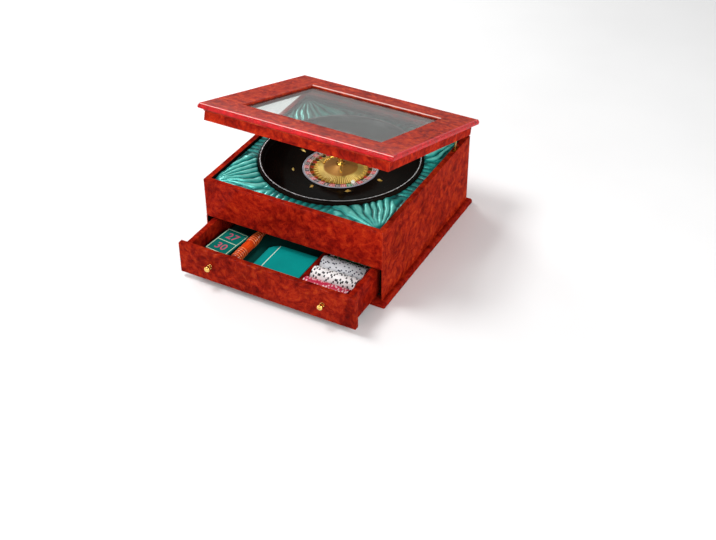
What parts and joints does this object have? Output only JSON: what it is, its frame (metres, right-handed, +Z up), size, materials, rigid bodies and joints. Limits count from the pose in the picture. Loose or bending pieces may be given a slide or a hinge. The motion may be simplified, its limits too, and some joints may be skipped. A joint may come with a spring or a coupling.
{
  "type": "roulette set case",
  "caption": "Wooden roulette case: hinged glazed lid over a spinning wheel in a satin bed, with a sliding drawer for cloths, rake and chips.",
  "frame": {"origin": "centre of the case's square footprint, on the table", "axes": "+X to the right seen from the drawer, +Y to the hinges at the back, +Z up; the drawer slides out along -Y"},
  "size_m": [0.453, 0.5757, 0.3535],
  "materials": {
    "felt": "pressed wool felt",
    "case_wood": "red mahogany burl under gloss lacquer",
    "drawer_wood": "dark red stained wood, satin lacquer",
    "black_board": "black-stained board, matt",
    "satin": "teal satin, padded and gathered",
    "bowl_lacquer": "turned wood under near-black gloss lacquer",
    "polished_steel": "polished",
    "spindle_steel": "ground steel",
    "gilt_brass": "polished and lacquered brass",
    "brass": "polished brass",
    "rotor_black": "turned wood, black lacquer",
    "number_enamel": "printed red and black fields with one green, gloss",
    "pocket_enamel": "red and black enamel on metal",
    "ball_white": "ivory-white, polished",
    "glass": "clear float glass",
    "chips_red": "moulded, with pale edge marks",
    "chips_white": "moulded, with black edge marks",
    "chips_grey": "moulded, with dark blue edge marks",
    "chips_green": "moulded, with pale edge marks",
    "layout_cloth": "teal baize with printed lines and numbers",
    "rake_orange": "turned grip, orange gloss with paler rings",
    "rake_wood": "clear-lacquered hardwood"
  },
  "bodies": {
    "case": {"base_felt": "felt", "base_board": "case_wood", "case_bottom": "black_board", "side_panel_left": "case_wood", "side_panel_right": "case_wood", "back_panel": "case_wood", "front_panel": "case_wood", "wheel_deck": "black_board", "drawer_stop": "black_board", "bed_frame": "black_board", "satin_bed": "satin", "wheel_bowl": "bowl_lacquer", "rim_inlay": "polished_steel", "deflectors": "gilt_brass", "wheel_spindle": "spindle_steel", "hinge_case_leaves": "brass", "hinge_pins": "brass", "stay_keeper": "brass", "case_screws": "brass"},
    "lid": {"lid_rim_front": "case_wood", "lid_rim_right": "case_wood", "lid_rim_back": "case_wood", "lid_rim_left": "case_wood", "top_rail_front": "case_wood", "top_rail_right": "case_wood", "top_rail_back": "case_wood", "top_rail_left": "case_wood", "glass_pane": "glass", "glazing_beads": "case_wood", "hinge_lid_leaves": "brass", "lid_screws": "brass", "stay_quadrant": "brass"},
    "rotor": {"rotor_disc": "rotor_black", "spindle_bearing": "brass", "rotor_rim": "polished_steel", "number_ring": "number_enamel", "pocket_ring": "pocket_enamel", "pocket_frets": "gilt_brass", "rotor_cone": "gilt_brass", "turret_column": "gilt_brass", "turret_arms": "gilt_brass", "turret_finial": "gilt_brass", "ball": "ball_white"},
    "drawer": {"drawer_front": "case_wood", "drawer_sides": "drawer_wood", "drawer_back": "drawer_wood", "drawer_bottom": "black_board", "drawer_dividers": "drawer_wood", "drawer_knobs": "brass", "knob_screws": "brass", "chips_red": "chips_red", "chips_white": "chips_white", "chips_grey": "chips_grey", "chips_green": "chips_green", "lower_cloth": "layout_cloth", "number_cloth": "layout_cloth", "plain_cloth": "layout_cloth", "rake_handle": "rake_orange", "rake_shaft": "rake_wood", "rake_head": "rake_wood"}
  },
  "joints": [
    {"name": "lid_hinge", "type": "hinge", "parent": "case", "child": "lid", "pos_m": [0, 0.2172, 0.1823], "axis": [-1, 0, 0], "range_deg": [-18, 60]},
    {"name": "drawer_slide", "type": "slide", "parent": "case", "child": "drawer", "axis": [0, -1, 0], "range_m": [-0.112, 0.138]},
    {"name": "rotor_spin", "type": "hinge", "parent": "case", "child": "rotor", "pos_m": [0, 0.003, 0.15], "axis": [0, 0, 1], "continuous": true}
  ]
}
